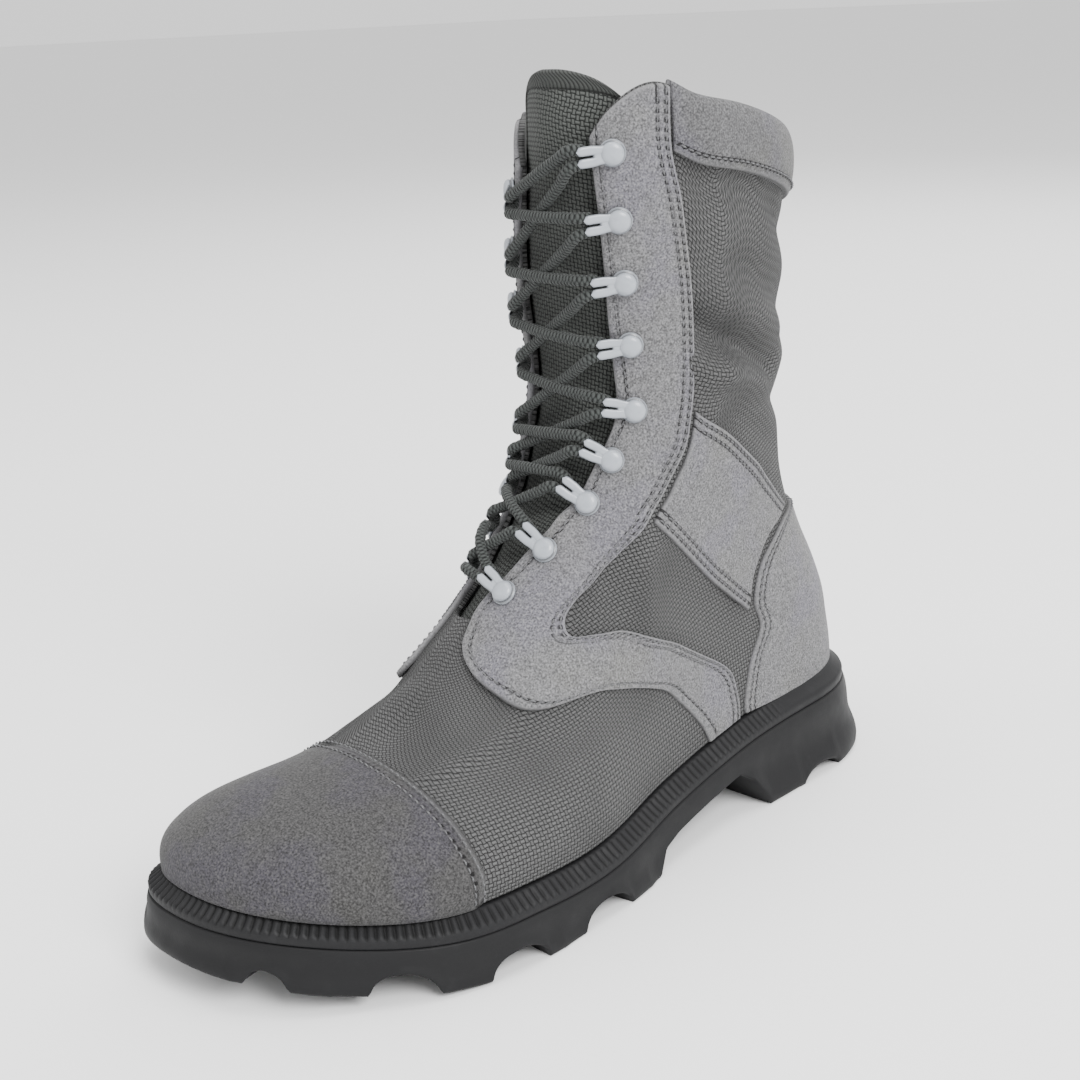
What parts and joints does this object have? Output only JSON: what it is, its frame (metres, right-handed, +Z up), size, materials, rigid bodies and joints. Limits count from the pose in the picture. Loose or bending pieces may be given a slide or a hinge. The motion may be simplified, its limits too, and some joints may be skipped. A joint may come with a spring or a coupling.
{
  "type": "military boot",
  "caption": "Left high-shaft lace-up boot with suede overlays on woven fabric, speed-lace hooks, crossed cord lace and a lugged rubber sole.",
  "frame": {"origin": "on the floor under the middle of the heel, on the flat underside of the heel lug", "axes": "+Z up the shaft, -Y towards the toe, +X towards the lateral side of the left boot"},
  "size_m": [0.1205, 0.3117, 0.2772],
  "materials": {
    "suede": "grey suede with a short nap",
    "toe_suede": "dark grey suede with a short nap",
    "nylon": "coarse basket weave, matt",
    "tongue_cloth": "dark woven cloth, matt",
    "insole_cloth": "plain dark cloth",
    "sole_rubber": "matt dark grey",
    "hook_paint": "light grey-blue paint, satin",
    "lace_cord": "braided cord, matt"
  },
  "bodies": {
    "root": {"outsole": "sole_rubber", "welt": "sole_rubber", "insole": "insole_cloth", "upper": "nylon", "tongue": "tongue_cloth", "toe_cap": "toe_suede", "counter": "suede", "eyestay_lateral": "suede", "eyestay_medial": "suede", "strap_lateral": "suede", "strap_medial": "suede", "back_strip": "nylon", "collar": "suede", "hook_lateral_1": "hook_paint", "hook_lateral_2": "hook_paint", "hook_lateral_3": "hook_paint", "hook_lateral_4": "hook_paint", "hook_lateral_5": "hook_paint", "hook_lateral_6": "hook_paint", "hook_lateral_7": "hook_paint", "hook_lateral_8": "hook_paint", "hook_lateral_9": "hook_paint", "hook_medial_1": "hook_paint", "hook_medial_2": "hook_paint", "hook_medial_3": "hook_paint", "hook_medial_4": "hook_paint", "hook_medial_5": "hook_paint", "hook_medial_6": "hook_paint", "hook_medial_7": "hook_paint", "hook_medial_8": "hook_paint", "hook_medial_9": "hook_paint", "lace_crossing_1": "lace_cord", "lace_crossing_2": "lace_cord", "lace_crossing_3": "lace_cord", "lace_crossing_4": "lace_cord", "lace_crossing_5": "lace_cord", "lace_crossing_6": "lace_cord", "lace_crossing_7": "lace_cord", "lace_crossing_8": "lace_cord", "lace_bar_low": "lace_cord", "lace_bar_top": "lace_cord"}
  },
  "joints": []
}
